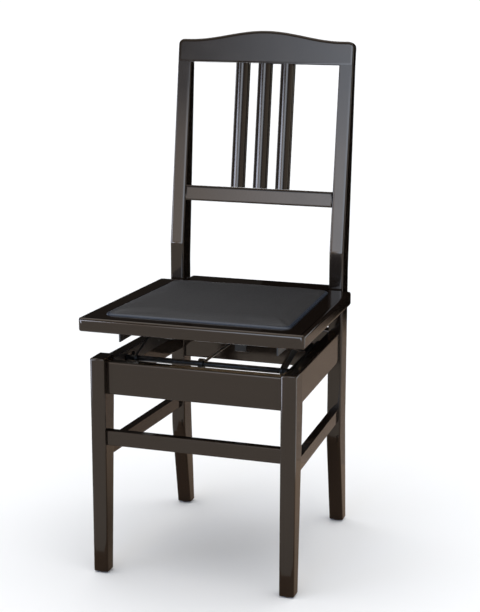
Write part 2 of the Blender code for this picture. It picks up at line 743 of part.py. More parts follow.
def make_rail_plates():
    """Plates on the splayed side rails: slotted for the front shaft, with the lower pivots behind."""
    front = FRONT_RAIL_BACK + PLATE_BEHIND_RAIL
    rear = PIVOT_Y + PLATE_TAIL
    edge = fillet([
        (front, PIVOT_Z - PLATE_HALF_HEIGHT, PLATE_CORNER),
        (rear, PIVOT_Z - PLATE_HALF_HEIGHT, PLATE_CORNER),
        (rear, PIVOT_Z + PLATE_HALF_HEIGHT, PLATE_CORNER),
        (front, PIVOT_Z + PLATE_HALF_HEIGHT, PLATE_CORNER),
    ])
    slot = slot_outline(PIVOT_Z, SHAFT_RADIUS + GAP)
    for word, side in SIDES:
        name = f"rail_plate_{word}"
        middle = side * (side_rail_inner(LEG_REAR) - PLATE_GAP - PLATE_SHEET / 2)
        mesh = splayed(upright_mesh(name, [edge, slot], PLATE_SHEET, middle), side)
        add_object(name, mesh, BLACK_STEEL)


def arm_mesh(name, end_hole):
    """A flat arm from its pivot at the origin to its far end at -Y, widest in the middle."""
    end = ARM_END_RADIUS
    outline = fillet([
        (end, -end, end),
        (end, end, end),
        (-ARM_LENGTH / 2, ARM_HALF_HEIGHT, ARM_BLEND),
        (-ARM_LENGTH - end, end, end),
        (-ARM_LENGTH - end, -end, end),
        (-ARM_LENGTH / 2, -ARM_HALF_HEIGHT, ARM_BLEND),
    ])
    holes = [
        circle(0, 0, PIN_RADIUS + GAP),
        circle(-ARM_LENGTH / 2, 0, PIN_RADIUS + GAP),
        circle(-ARM_LENGTH, 0, end_hole),
    ]
    return outline_mesh(name, [outline] + holes, ARM_THICKNESS)


def arm_planes():
    """Outer faces of the rear arms, which run inside the seat angles, and of the front arms."""
    rear = angle_inner() - ARM_SPACING
    return rear, rear - ARM_THICKNESS - ARM_SPACING


def make_arms(pair, pivot, outer, end_hole):
    for word, side in SIDES:
        name = f"{pair}_arm_{word}"
        place = (side * (outer - ARM_THICKNESS / 2), 0, 0)
        add_object(name, arm_mesh(name, end_hole), BLACK_STEEL, pivot, place, SIDE_VIEW)


def pin_profile(inner, outer, collars):
    """Profile of a pin from inner to outer, with collars (start, end, radius) along it."""
    profile = [(0, outer)]
    height = outer
    for start, end, radius in sorted(collars, reverse=True):
        if end < height:
            profile += [(PIN_RADIUS, height), (PIN_RADIUS, end)]
        profile += [(radius, end), (radius, start)]
        height = start
    if height > inner:
        profile += [(PIN_RADIUS, height), (PIN_RADIUS, inner)]
    return profile + [(0, inner)]


def make_pins(name, parent, along, inner, outer, collars):
    """The same pin on both sides of the chair, pointing outwards."""
    profile = pin_profile(inner, outer, collars)
    for word, side in SIDES:
        turn = (0, side * math.pi / 2, 0)
        turned(f"{name}_{word}", profile, BRIGHT_STEEL, parent, (0, along, 0), turn)


def pin_head(face):
    """Head of a pin that bears on an arm's inner face: its start, end and radius."""
    return face - GAP - PIN_HEAD, face - GAP, PIN_HEAD_RADIUS


def make_lift():
    """Two pairs of arms that cross at a rivet, from the frame to the seat and back."""
    lower = add_pivot("lower_pivot", (0, PIVOT_Y, PIVOT_Z), (-LIFT_ANGLE, 0, 0))
    upper = add_pivot("upper_pivot", (0, PIVOT_Y, UPPER_PIVOT_Z), (LIFT_ANGLE, 0, 0))
    rear_outer, front_outer = arm_planes()
    make_arms("rear", lower, rear_outer, PIN_RADIUS + GAP)
    make_arms("front", upper, front_outer, SHAFT_RADIUS + GAP)
    head = pin_head(rear_outer - ARM_THICKNESS)
    make_pins("slide_pin", lower, -ARM_LENGTH, head[0], angle_inner() + ANGLE_SHEET + GAP, [head])
    wall = side_rail_inner(PIVOT_Y + SPACER_RADIUS) - PLATE_GAP - PLATE_SHEET - GAP
    spacer = (rear_outer + GAP, wall, SPACER_RADIUS)
    frame = add_pivot("frame_pivot", (0, PIVOT_Y, PIVOT_Z))
    make_pins("lower_pivot_bolt", frame, 0, head[0], wall, [head, spacer])
    head = pin_head(front_outer - ARM_THICKNESS)
    make_pins("scissor_rivet", upper, -ARM_LENGTH / 2, head[0], rear_outer, [head])
    half_length = side_rail_inner(SHAFT_Y_HIGH + SHAFT_RADIUS) - SHAFT_END_PLAY
    shaft = cylinder_mesh("front_shaft", SHAFT_RADIUS, 2 * half_length)
    place = (0, -ARM_LENGTH, 0)
    round_edges(add_object("front_shaft", shaft, BLACK_STEEL, upper, place, ACROSS), SMALL_ROUND, 1)


def make_seat_studs(seat):
    front_outer = arm_planes()[1]
    head = pin_head(front_outer - ARM_THICKNESS)
    spacer = (front_outer + GAP, angle_inner() - GAP, SPACER_RADIUS)
    make_pins("upper_pivot_stud", seat, 0, head[0], spacer[1], [head, spacer])


def make_rod():
    shaft = add_pivot("rod_pivot", (ROD_X, SHAFT_Y, PIVOT_Z))
    rings = [circle(0, 0, EYE_RADIUS), circle(0, 0, SHAFT_RADIUS + GAP)]
    eye = outline_mesh("rod_end_eye", rings, EYE_WIDTH)
    add_object("rod_end_eye", eye, BLACK_STEEL, shaft, (0, 0, 0), SIDE_VIEW)
    start = EYE_RADIUS + GAP
    length = LEVER_PIN_Y + ROD_OVERRUN - SHAFT_Y - start
    rod = cylinder_mesh("lock_rod", ROD_RADIUS, length, ROD_STEPS)
    add_object("lock_rod", rod, BRIGHT_STEEL, shaft, (0, start + length / 2, 0), ALONG)


def make_lock_bracket():
    """A sheet-steel channel on the rear rail, with ears for the lever's pin."""
    back = REAR_RAIL_FRONT - GAP - LOCK_SHEET / 2
    ears = LEVER_PIN_Y - LOCK_EARS
    half = LOCK_WIDTH / 2 - LOCK_SHEET / 2
    path = [Vector((-half, ears)), Vector((-half, back)), Vector((half, back)), Vector((half, ears))]
    height = LOCK_BELOW_ROD + LOCK_ABOVE_ROD
    mesh = outline_mesh("lock_bracket", [strip_outline(path, LOCK_SHEET)], height)
    place = (ROD_X, 0, PIVOT_Z - LOCK_BELOW_ROD + height / 2)
    bracket = add_object("lock_bracket", mesh, BLACK_STEEL, None, place)
    hole = cylinder_mesh("pin_hole", LEVER_PIN_RADIUS + GAP, 2 * LOCK_WIDTH)
    place = (ROD_X, LEVER_PIN_Y, LEVER_PIN_Z)
    cut(bracket, add_object("pin_hole", hole, None, None, place, ACROSS, CUTTERS))
    pin = cylinder_mesh("lever_pin", LEVER_PIN_RADIUS, LOCK_WIDTH + 2 * PIN_HEAD)
    add_object("lever_pin", pin, BRIGHT_STEEL, None, place, ACROSS)


def make_release_lever():
    """A strip of steel curled round its pin, holed for the rod and turned out to a finger tab."""
    pivot = add_pivot("lever_pivot", (ROD_X, LEVER_PIN_Y, LEVER_PIN_Z))
    curl = LEVER_PLANE
    path = []
    for step in range(LEVER_CURL_STEPS + 1):
        turn = math.pi - LEVER_CURL * (1 - step / LEVER_CURL_STEPS)
        path.append(Vector((curl * math.cos(turn), curl * math.sin(turn))))
    path.append(Vector((-curl, -LEVER_DROP)))
    path.append(Vector((-curl + LEVER_TAB, -LEVER_DROP - LEVER_TAB_DROP)))
    mesh = outline_mesh("release_lever", [strip_outline(path, LEVER_SHEET)], LEVER_WIDTH)
    lever = add_object("release_lever", mesh, BLACK_STEEL, pivot, (0, 0, 0), SIDE_VIEW)
    hole = cylinder_mesh("rod_hole", LEVER_HOLE, CUT_REACH * curl)
    place = (0, -curl, -LEVER_PIN_RISE)
    cut(lever, add_object("rod_hole", hole, None, pivot, place, ALONG, CUTTERS))


def make_lever_spring():
    """Coil spring on the rod, drawn at the length it has with the lever pulled."""
    pulled = (LEVER_PIN_RISE + LEVER_HOLE) * math.sin(LEVER_STROKE)
    front = LEVER_PIN_Y - LEVER_PLANE + LEVER_SHEET / 2 + pulled + SPRING_WIRE + GAP
    rear = REAR_RAIL_FRONT - LOCK_SHEET - SPRING_WIRE - 2 * GAP
    count = SPRING_TURNS * SPRING_POINTS
    points = []
    for step in range(count + 1):
        turn = 2 * math.pi * step / SPRING_POINTS
        y = front + (rear - front) * step / count
        points.append((SPRING_RADIUS * math.cos(turn), y, SPRING_RADIUS * math.sin(turn)))
    pitch = (rear - front) / SPRING_TURNS
    print(f"lever spring: least gap between turns {pitch - 2 * SPRING_WIRE:.5f} m")
    curve = bpy.data.curves.new("lever_spring", "CURVE")
    curve.dimensions = "3D"
    curve.bevel_depth = SPRING_WIRE
    curve.bevel_resolution = 1
    curve.use_fill_caps = True
    spline = curve.splines.new("POLY")
    spline.points.add(len(points) - 1)
    for point, place in zip(spline.points, points):
        point.co = (*place, 1)
    add_object("lever_spring", curve, BRIGHT_STEEL, None, (ROD_X, 0, PIVOT_Z))


def make_seat():
    seat = add_pivot("seat_pivot", (0, PIVOT_Y, UPPER_PIVOT_Z))
    bpy.context.view_layer.update()
    make_seat_frame(seat)
    make_seat_pad(seat)
    make_seat_angles(seat)
    make_seat_studs(seat)


def main():
    make_front_legs()
    make_rear_posts()
    make_glides()
    make_seat_rails()
    make_stretchers()
    make_back()
    make_rail_plates()
    make_lift()
    make_seat()
    make_rod()
    make_lock_bracket()
    make_release_lever()
    make_lever_spring()
    bpy.context.view_layer.update()


main()
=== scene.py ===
"""Piano chair: the looks of its black lacquered frame, vinyl seat pad and steel scissor lift.

Metres, +Z up, the front of the chair towards -Y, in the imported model's own frame.
"""

import json
import math

import bmesh
import bpy
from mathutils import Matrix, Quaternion, Vector
from mathutils.bvhtree import BVHTree

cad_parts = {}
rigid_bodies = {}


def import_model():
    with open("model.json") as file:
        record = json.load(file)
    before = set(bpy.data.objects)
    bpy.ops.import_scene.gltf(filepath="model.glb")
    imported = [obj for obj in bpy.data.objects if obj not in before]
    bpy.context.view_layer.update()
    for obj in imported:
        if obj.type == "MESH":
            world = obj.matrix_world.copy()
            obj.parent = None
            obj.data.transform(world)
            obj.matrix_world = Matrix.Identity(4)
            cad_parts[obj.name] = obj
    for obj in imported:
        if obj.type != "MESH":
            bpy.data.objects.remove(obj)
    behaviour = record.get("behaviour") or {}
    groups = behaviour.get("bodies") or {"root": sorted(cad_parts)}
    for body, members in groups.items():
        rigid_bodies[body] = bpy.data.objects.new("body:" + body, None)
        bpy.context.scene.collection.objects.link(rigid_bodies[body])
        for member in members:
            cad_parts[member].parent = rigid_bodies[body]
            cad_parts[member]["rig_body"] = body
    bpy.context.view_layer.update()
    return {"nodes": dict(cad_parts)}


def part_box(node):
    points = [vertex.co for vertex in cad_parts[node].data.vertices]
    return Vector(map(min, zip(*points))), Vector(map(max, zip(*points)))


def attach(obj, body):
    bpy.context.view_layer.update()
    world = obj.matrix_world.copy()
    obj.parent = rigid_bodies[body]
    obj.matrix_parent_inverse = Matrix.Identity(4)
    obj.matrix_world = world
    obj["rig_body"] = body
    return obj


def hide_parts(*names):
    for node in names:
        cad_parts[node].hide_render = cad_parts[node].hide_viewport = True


for leftover in list(bpy.data.objects):
    bpy.data.objects.remove(leftover)
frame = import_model()
NODES = frame["nodes"]
MM = 0.001

# Camera, solved from the photograph's edges
IMAGE_SIZE = (480, 612)
FOCAL_PIXELS = 1498.3
SENSOR_MM = 36
CAMERA_PLACE = Vector((0.8500, -2.4836, 1.0509))
CAMERA_TARGET = Vector((0.0800, -0.1855, 0.4982))
CAMERA_ROLL = math.radians(0.1)
CAMERA_REACH = 300

# Seat pad: the recess it is let into, in plan, and how it is upholstered
RECESS_FRONT = -0.1868
RECESS_REAR = 0.1198
RECESS_HALF_FRONT = 0.1670
RECESS_HALF_REAR = 0.1520
RECESS_CORNER = 14 * MM
PAD_PLAY = 0.4 * MM  # to the recess's wall
PAD_ROLL = 5 * MM  # of the rim, in plan
PAD_ROLL_STEPS = 7
PAD_SHOULDER = 3.2 * MM  # least rise of the rim over the border
PAD_LIFT_FADE = 18 * MM  # over which that rise dies out inwards
PAD_SINK = 1 * MM  # of the roll's foot below the border
PAD_STRIDE = 3 * MM  # from ring to ring, next to the rim
PAD_STRIDE_GROWTH = 1.2
PAD_MIDDLE = 125 * MM  # inset at which the rings end
PAD_RUN_STEPS = 36
PAD_SPREAD = 2.6 * MM  # of the foam past its solid, before it is blown up
PAD_START_HEIGHT = 0.86  # of the foam, as a share of its solid's
PAD_VOXEL = 4.5 * MM
PAD_PRESSURE = 4
PAD_FRAMES = 20
PAD_CAP = 3.0 * MM  # on how far a point may swell
PAD_HELD = 3 * MM  # height of the foot that stays put
PAD_SMOOTHING = 4
PAD_SMOOTH_SHARE = 0.5
TURN_IN_GAP = 0.1 * MM
TURN_IN_OUTER = 10.6 * MM
TURN_IN_INNER = 24 * MM
TURN_IN_WAVE = 1.2 * MM
TURN_IN_RIPPLES = (1.7, 0.37)  # radians for each step
TURN_IN_THICKNESS = 0.9 * MM
TURN_IN_STEPS = 8
LOOP_CORNER_STEPS = 8

# Screws and staples
PAN_HEAD_RADIUS = 3.4 * MM
PAN_HEAD_HEIGHT = 1.9 * MM
FLAT_HEAD_RADIUS = 3.6 * MM
FLAT_HEAD_HEIGHT = 0.35 * MM
HEAD_SIDES = 20
HEAD_RINGS = 10
CROSS_LONG = 1.15  # the cross recess, in head radii and heights
CROSS_WIDE = 0.24
CROSS_DEEP = 1.1
SCREW_SEED = 7
STAPLE_CROWN = 9 * MM
STAPLE_WIRE = 1.1 * MM
STAPLE_HEIGHT = 0.5 * MM
STAPLE_SPACING = 26 * MM
STAPLE_SIDES = 8
STAPLE_TILT = 0.35
STAPLE_SEED = 3
ANGLE_SCREW_ALONG = (-0.150, -0.085, -0.020, 0.040)
PLATE_SCREW_ALONG = (-0.152, -0.045, 0.0195)
PLATE_SCREW_HEIGHT = 0.3736
LEDGE_SCREW_ACROSS = (-0.105, 0.0, 0.105)
LEDGE_SCREW_INSET = 5 * MM
LOCK_SCREW_ACROSS = 9 * MM
LOCK_SCREW_HEIGHTS = (0.3625, 0.3815)

# Shading of the carried-over solids
WELD = 1e-6
SHARP_ANGLE = math.radians(36)
TURN_ANGLE = math.radians(50)
COPLANAR = math.radians(0.6)
STRIP_WIDTH = 2.8 * MM  # widest face of a rounded edge
BROAD_WIDTH = 8.5 * MM  # narrowest face that shades flat
ROLL_LEAST = 14 * MM  # narrowest face with rolled borders
ROLL_WIDTH = 3.4 * MM
ROLL_TURN = math.radians(6.5)
ROLL_TURN_TOP = math.radians(14)  # more where the border is a top edge
TOP_LEAN = 0.6
JOINT_REACH = 8 * MM  # of the glued joint at the top of a rear post

# Studio: a white floor under a bright ceiling, a dark wall behind, and soft windows low down at the
# front and sides, in degrees as seen from the chair
FLOOR_HALF = 150
FLOOR_LEVEL = -0.2 * MM
FLOOR_COLOUR = "#f7f7f7"
CEILING_COLOUR = "#fbfbfb"
CEILING_STRENGTH = 2.0
CEILING_STARTS = (28, 60)  # elevations
FRONT_WALL_COLOUR = "#8a857f"
BACK_WALL_COLOUR = "#262422"
WALL_TURN = (-0.25, 0.2)  # from the front wall to the back one, along Y
WINDOWS = (
    # azimuths from the front towards +X, elevations, softness, colour, strength
    ((-7, -2), (3, 15), 18, "#c0d9fc", 9.0),
    ((-52, -31), (0, 8), 4, "#c0d6fd", 17.0),
    ((30, 84), (-2, 8), 8, "#dfe2e0", 0.8),
    ((-32, -16), (1, 8), 6, "#f4ede6", 1.9),
    ((-128, -98), (1, 12), 8, "#d4dcf0", 2.6),
    ((84, 130), (1, 14), 10, "#d6e0dc", 1.7),
)
SCREEN_ACROSS = (-0.1, 0.45)
SCREEN_BEHIND = 0.5
SCREEN_HEIGHT = 1.6
SCREEN_FOOT_COLOUR = "#ad9681"
SCREEN_TOP_COLOUR = "#050505"
SCREEN_FADE = (0.275, 0.345)  # heights
BOARD_ACROSS = (-0.3, 0.9)
BOARD_FRONT = -0.3
BOARD_COLOUR = "#b8a18c"
BOARD_LEVEL = 0.3 * MM


def linear(code):
    """Linear colour of an sRGB hex code."""
    shares = [int(code[start:start + 2], 16) / 255 for start in (1, 3, 5)]
    return [s / 12.92 if s <= 0.04045 else ((s + 0.055) / 1.055) ** 2.4 for s in shares] + [1.0]


def add(tree, kind, inputs=None, **settings):
    """Adds a node with its settings, and sets or links its inputs."""
    node = tree.nodes.new(kind)
    for name, value in settings.items():
        setattr(node, name, value)
    for socket, value in (inputs or {}).items():
        if isinstance(value, bpy.types.NodeSocket):
            tree.links.new(value, node.inputs[socket])
        else:
            node.inputs[socket].default_value = value
    return node


def blank_material(name):
    """A new material and its empty node tree."""
    material = bpy.data.materials.new(name)
    material.use_nodes = True
    material.node_tree.nodes.clear()
    return material, material.node_tree


def close_material(tree, inputs):
    """Ends a material in one Principled BSDF."""
    shader = add(tree, "ShaderNodeBsdfPrincipled", inputs)
    add(tree, "ShaderNodeOutputMaterial", {"Surface": shader.outputs[0]})


def make_black_lacquer():
    """Black polyester lacquer, sprayed on hardwood and polished.

    A warm black under a mirror gloss, with the faint orange peel of the spray gun, cloudy handling
    marks in the gloss, and rounded edges that are rubbed a shade browner.
    """
    material, tree = blank_material("black_lacquer_polished")
    spot = add(tree, "ShaderNodeTexCoord").outputs["Object"]
    cloud = add(tree, "ShaderNodeTexNoise", {"Vector": spot, "Scale": 1 / (90 * MM), "Detail": 3})
    tone = add(
        tree, "ShaderNodeMix",
        {0: cloud.outputs[0], 6: linear("#120d0a"), 7: linear("#19130f")}, data_type="RGBA",
    )
    patch = add(tree, "ShaderNodeTexNoise", {"Vector": spot, "Scale": 1 / (16 * MM), "Detail": 4})
    broken = add(tree, "ShaderNodeMapRange", {0: patch.outputs[0], 1: 0.46, 2: 0.66, 3: 0, 4: 0.55})
    edge = add(tree, "ShaderNodeAttribute", attribute_name="edge")
    rubbed = add(
        tree, "ShaderNodeMath", {0: edge.outputs["Fac"], 1: broken.outputs[0]}, operation="MULTIPLY"
    )
    colour = add(
        tree, "ShaderNodeMix",
        {0: rubbed.outputs[0], 6: tone.outputs[2], 7: linear("#2a2019")}, data_type="RGBA",
    )
    haze = add(tree, "ShaderNodeTexNoise", {"Vector": spot, "Scale": 1 / (35 * MM), "Detail": 5})
    gloss = add(tree, "ShaderNodeMapRange", {0: haze.outputs[0], 1: 0.3, 2: 0.7, 3: 0.07, 4: 0.13})
    worn_gloss = add(
        tree, "ShaderNodeMath",
        {0: rubbed.outputs[0], 1: 0.2, 2: gloss.outputs[0]}, operation="MULTIPLY_ADD",
    )
    peel = add(tree, "ShaderNodeTexNoise", {"Vector": spot, "Scale": 1 / (4 * MM), "Detail": 1})
    bump = add(
        tree, "ShaderNodeBump",
        {"Strength": 0.03, "Distance": 0.4 * MM, "Height": peel.outputs[0]},
    )
    close_material(tree, {
        "Base Color": colour.outputs[2],
        "Roughness": worn_gloss.outputs[0],
        "IOR": 1.47,
        "Specular Tint": linear("#ffebd7"),
        "Normal": bump.outputs[0],
    })
    return material


def make_grey_vinyl():
    """Calendered vinyl leathercloth over foam.

    Dark grey and matt, embossed with a fine pebble grain whose creases are darkened a little by
    painted shade, and uneven on the scale of a hand where the foam gives. Over the pad's rim it is
    shinier, and a bluish painted highlight is mixed into its colour. The 1 mm grain is drawn at
    twice its size to show.
    """
    material, tree = blank_material("grey_vinyl_leathercloth")
    spot = add(tree, "ShaderNodeTexCoord").outputs["Object"]
    pebble = add(
        tree, "ShaderNodeTexVoronoi", {"Vector": spot, "Scale": 1 / (2.0 * MM)},
        feature="DISTANCE_TO_EDGE",
    )
    crease = add(tree, "ShaderNodeMapRange", {0: pebble.outputs[0], 1: 0.0, 2: 0.22, 3: 0, 4: 1})
    hand = add(tree, "ShaderNodeTexNoise", {"Vector": spot, "Scale": 1 / (60 * MM), "Detail": 3})
    tone = add(
        tree, "ShaderNodeMix",
        {0: hand.outputs[0], 6: linear("#222122"), 7: linear("#282728")}, data_type="RGBA",
    )
    # Painted highlight: along the pad's rim the colour is mixed towards a bluish grey; the rim is
    # also made glossier below
    rim = add(tree, "ShaderNodeAttribute", attribute_name="edge")
    painted_rim_highlight = add(
        tree, "ShaderNodeMix",
        {0: rim.outputs["Fac"], 6: tone.outputs[2], 7: linear("#262c37")}, data_type="RGBA",
    )
    # Painted shade: the grain's creases are darkened a little
    shade = add(tree, "ShaderNodeMapRange", {0: crease.outputs[0], 1: 0, 2: 1, 3: 0.82, 4: 1.0})
    colour = add(
        tree, "ShaderNodeVectorMath",
        {0: painted_rim_highlight.outputs[2], "Scale": shade.outputs[0]}, operation="SCALE",
    )
    rough = add(tree, "ShaderNodeMapRange", {0: crease.outputs[0], 1: 0, 2: 1, 3: 0.68, 4: 0.52})
    polished = add(
        tree, "ShaderNodeMath",
        {0: rim.outputs["Fac"], 1: -0.3, 2: rough.outputs[0]}, operation="MULTIPLY_ADD",
    )
    soft = add(
        tree, "ShaderNodeBump",
        {"Strength": 0.15, "Distance": 2 * MM, "Height": hand.outputs[0]},
    )
    bump = add(tree, "ShaderNodeBump", {
        "Strength": 0.22,
        "Distance": 0.3 * MM,
        "Height": crease.outputs[0],
        "Normal": soft.outputs[0],
    })
    close_material(tree, {
        "Base Color": colour.outputs[0],
        "Roughness": polished.outputs[0],
        "Specular IOR Level": 0.42,
        "Normal": bump.outputs[0],
    })
    return material


def make_black_steel():
    """Steel strip, pressed, phosphated and stove-enamelled black.

    A satin near-black with the fine grain of the enamel, rubbed to grey steel in places on its
    edges.
    """
    material, tree = blank_material("black_enamelled_steel")
    spot = add(tree, "ShaderNodeTexCoord").outputs["Object"]
    patch = add(tree, "ShaderNodeTexNoise", {"Vector": spot, "Scale": 1 / (12 * MM), "Detail": 5})
    edge = add(tree, "ShaderNodeAttribute", attribute_name="edge")
    broken = add(tree, "ShaderNodeMapRange", {0: patch.outputs[0], 1: 0.5, 2: 0.7, 3: 0, 4: 0.45})
    rubbed = add(
        tree, "ShaderNodeMath", {0: edge.outputs["Fac"], 1: broken.outputs[0]}, operation="MULTIPLY"
    )
    tone = add(
        tree, "ShaderNodeMix",
        {0: patch.outputs[0], 6: linear("#0b0b0c"), 7: linear("#121213")}, data_type="RGBA",
    )
    colour = add(
        tree, "ShaderNodeMix",
        {0: rubbed.outputs[0], 6: tone.outputs[2], 7: linear("#5c5d60")}, data_type="RGBA",
    )
    grain = add(tree, "ShaderNodeTexNoise", {"Vector": spot, "Scale": 1 / (0.7 * MM), "Detail": 2})
    rough = add(tree, "ShaderNodeMapRange", {0: patch.outputs[0], 1: 0.3, 2: 0.7, 3: 0.3, 4: 0.44})
    bump = add(
        tree, "ShaderNodeBump",
        {"Strength": 0.12, "Distance": 0.1 * MM, "Height": grain.outputs[0]},
    )
    close_material(tree, {
        "Base Color": colour.outputs[2],
        "Metallic": rubbed.outputs[0],
        "Roughness": rough.outputs[0],
        "Normal": bump.outputs[0],
    })
    return material


def make_zinc_steel():
    """Turned steel, zinc plated and passivated.

    A bluish grey metal, streaked by the tool across its axis, clouded where the passivation is
    thin.
    """
    material, tree = blank_material("zinc_plated_turned_steel")
    spot = add(tree, "ShaderNodeTexCoord").outputs["Object"]
    stretch = add(tree, "ShaderNodeMapping", {"Vector": spot, "Scale": (12, 1, 1)})
    rings = add(
        tree, "ShaderNodeTexNoise",
        {"Vector": stretch.outputs[0], "Scale": 1 / (6 * MM), "Detail": 3},
    )
    cloud = add(tree, "ShaderNodeTexNoise", {"Vector": spot, "Scale": 1 / (5 * MM), "Detail": 4})
    colour = add(
        tree, "ShaderNodeMix",
        {0: cloud.outputs[0], 6: linear("#5f6266"), 7: linear("#85888b")}, data_type="RGBA",
    )
    rough = add(tree, "ShaderNodeMapRange", {0: rings.outputs[0], 1: 0.3, 2: 0.7, 3: 0.24, 4: 0.42})
    bump = add(
        tree, "ShaderNodeBump",
        {"Strength": 0.1, "Distance": 0.1 * MM, "Height": rings.outputs[0]},
    )
    close_material(tree, {
        "Base Color": colour.outputs[2],
        "Metallic": 1.0,
        "Roughness": rough.outputs[0],
        "Normal": bump.outputs[0],
    })
    return material


def make_plywood():
    """Birch plywood, sanded but not finished.

    Pale faces with grain that runs across the chair, and edges banded by 1.5 mm plies.
    """
    material, tree = blank_material("birch_plywood_sanded")
    spot = add(tree, "ShaderNodeTexCoord").outputs["Object"]
    stretch = add(tree, "ShaderNodeMapping", {"Vector": spot, "Scale": (0.06, 1, 1)})
    grain = add(
        tree, "ShaderNodeTexNoise",
        {"Vector": stretch.outputs[0], "Scale": 1 / (2.5 * MM), "Detail": 4},
    )
    plies = add(
        tree, "ShaderNodeTexWave",
        {"Vector": spot, "Scale": math.pi / 10 / (1.5 * MM), "Distortion": 0.3},
        wave_type="BANDS", bands_direction="Z",
    )
    streak = add(
        tree, "ShaderNodeMix",
        {0: grain.outputs[0], 6: linear("#b08a5c"), 7: linear("#d9bd92")}, data_type="RGBA",
    )
    glue = add(tree, "ShaderNodeMapRange", {0: plies.outputs["Fac"], 1: 0, 2: 1, 3: 0.72, 4: 1})
    colour = add(
        tree, "ShaderNodeVectorMath",
        {0: streak.outputs[2], "Scale": glue.outputs[0]}, operation="SCALE",
    )
    bump = add(
        tree, "ShaderNodeBump",
        {"Strength": 0.2, "Distance": 0.1 * MM, "Height": grain.outputs[0]},
    )
    close_material(tree, {
        "Base Color": colour.outputs[0],
        "Roughness": 0.65,
        "Normal": bump.outputs[0],
    })
    return material


def make_brown_nylon():
    """Moulded nylon.

    A dull brown, with the fine spark texture of its mould and scuffs from the floor.
    """
    material, tree = blank_material("brown_nylon_moulded")
    spot = add(tree, "ShaderNodeTexCoord").outputs["Object"]
    grain = add(tree, "ShaderNodeTexNoise", {"Vector": spot, "Scale": 1 / (0.6 * MM), "Detail": 2})
    scuff = add(tree, "ShaderNodeTexNoise", {"Vector": spot, "Scale": 1 / (4 * MM), "Detail": 4})
    colour = add(
        tree, "ShaderNodeMix",
        {0: scuff.outputs[0], 6: linear("#33251c"), 7: linear("#4c392c")}, data_type="RGBA",
    )
    bump = add(
        tree, "ShaderNodeBump",
        {"Strength": 0.2, "Distance": 0.1 * MM, "Height": grain.outputs[0]},
    )
    close_material(tree, {
        "Base Color": colour.outputs[2],
        "Roughness": 0.5,
        "Normal": bump.outputs[0],
    })
    return material


FINISHES = {
    "black_lacquer": make_black_lacquer(),
    "grey_vinyl": make_grey_vinyl(),
    "black_steel": make_black_steel(),
    "zinc_plated_steel": make_zinc_steel(),
    "plywood": make_plywood(),
    "brown_nylon": make_brown_nylon(),
}


def place_piece(name, mesh, finish):
    """A new object at the origin, with its place in its mesh."""
    piece = bpy.data.objects.new(name, mesh)
    bpy.context.scene.collection.objects.link(piece)
    mesh.materials.clear()
    mesh.materials.append(FINISHES[finish])
    return piece


def plain_mesh(piece):
    """Turns what a piece's modifiers make into its own mesh."""
    bpy.context.view_layer.update()
    graph = bpy.context.evaluated_depsgraph_get()
    mesh = bpy.data.meshes.new_from_object(piece.evaluated_get(graph), depsgraph=graph)
    piece.modifiers.clear()
    piece.data = mesh
    return mesh


def carry(piece, body, slot, *replaced):
    """Rides a piece on its body and hides the solids that it stands for; its slot is not used."""
    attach(piece, body)
    if replaced:
        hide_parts(*replaced)
    return piece


def merged(node):
    """A solid's mesh with its loose triangles joined up."""
    shape = bmesh.new()
    shape.from_mesh(NODES[node].data)
    bmesh.ops.remove_doubles(shape, verts=shape.verts, dist=WELD)
    return shape


def flat_regions(shape):
    """The faces of a mesh in groups that lie in one plane."""
    waiting = set(shape.faces)
    while waiting:
        group = [waiting.pop()]
        for face in group:
            for edge in face.edges:
                for other in edge.link_faces:
                    if other in waiting and edge.calc_face_angle(math.pi) < COPLANAR:
                        waiting.discard(other)
                        group.append(other)
        yield group


def width_of(group):
    """Mean width of a flat region, across its longest line."""
    corners = {vertex for face in group for vertex in face.verts}
    spots = [vertex.co for vertex in corners]
    longest = max((a - b).length for a in spots for b in spots)
    return sum(face.calc_area() for face in group) / longest


def roll_edges(shape, group):
    """Parts a strip off round a flat region's border, where the polished lacquer rolls over."""
    return bmesh.ops.inset_region(
        shape, faces=group, thickness=ROLL_WIDTH, use_even_offset=True, use_boundary=True
    )["faces"]


def leaned(vertex, face, broad, rolled, joined):
    """A flat face's normal at a corner, leaning over where the lacquer rolls round the edge."""
    beyond = [
        other.normal for other in vertex.link_faces
        if other not in broad and other not in rolled
    ]
    inside = any(other in broad for other in vertex.link_faces)
    if not beyond or inside or vertex in joined:
        return face.normal.copy()
    over = sum(beyond, Vector()).normalized()
    across = (over - face.normal * over.dot(face.normal)).normalized()
    turn = ROLL_TURN_TOP if across.z > TOP_LEAN else ROLL_TURN
    return face.normal.slerp(over, min(turn / face.normal.angle(over), 1))


def corner_normals(shape, broad, rolled, joined):
    """Normals for the face corners: broad faces stay flat, narrow ones turn between them."""
    normals = []
    for face in shape.faces:
        for corner in face.loops:
            near = [
                other for other in corner.vert.link_loops
                if other.face.normal.angle(face.normal) < TURN_ANGLE
            ]
            flat = [other.face for other in near if other.face in broad or other.face in rolled]
            if face in broad or face in rolled:
                normals.append(leaned(corner.vert, face, broad, rolled, joined))
            elif flat:
                closest = min(flat, key=lambda other: other.normal.angle(face.normal))
                normals.append(leaned(corner.vert, closest, broad, rolled, joined))
            else:
                turned = sum((other.face.normal * other.calc_angle() for other in near), Vector())
                normals.append(turned.normalized())
    return normals


def mark_wear(shape, regions, rubbed):
    """Marks the corners inside rounded edges, which hands and cloths rub."""
    wear = shape.verts.layers.float.new("edge")
    if rubbed:
        wide = [group for group, width in regions if width > STRIP_WIDTH]
        held = {vertex for group in wide for face in group for vertex in face.verts}
        for vertex in shape.verts:
            vertex[wear] = 0 if vertex in held else 1


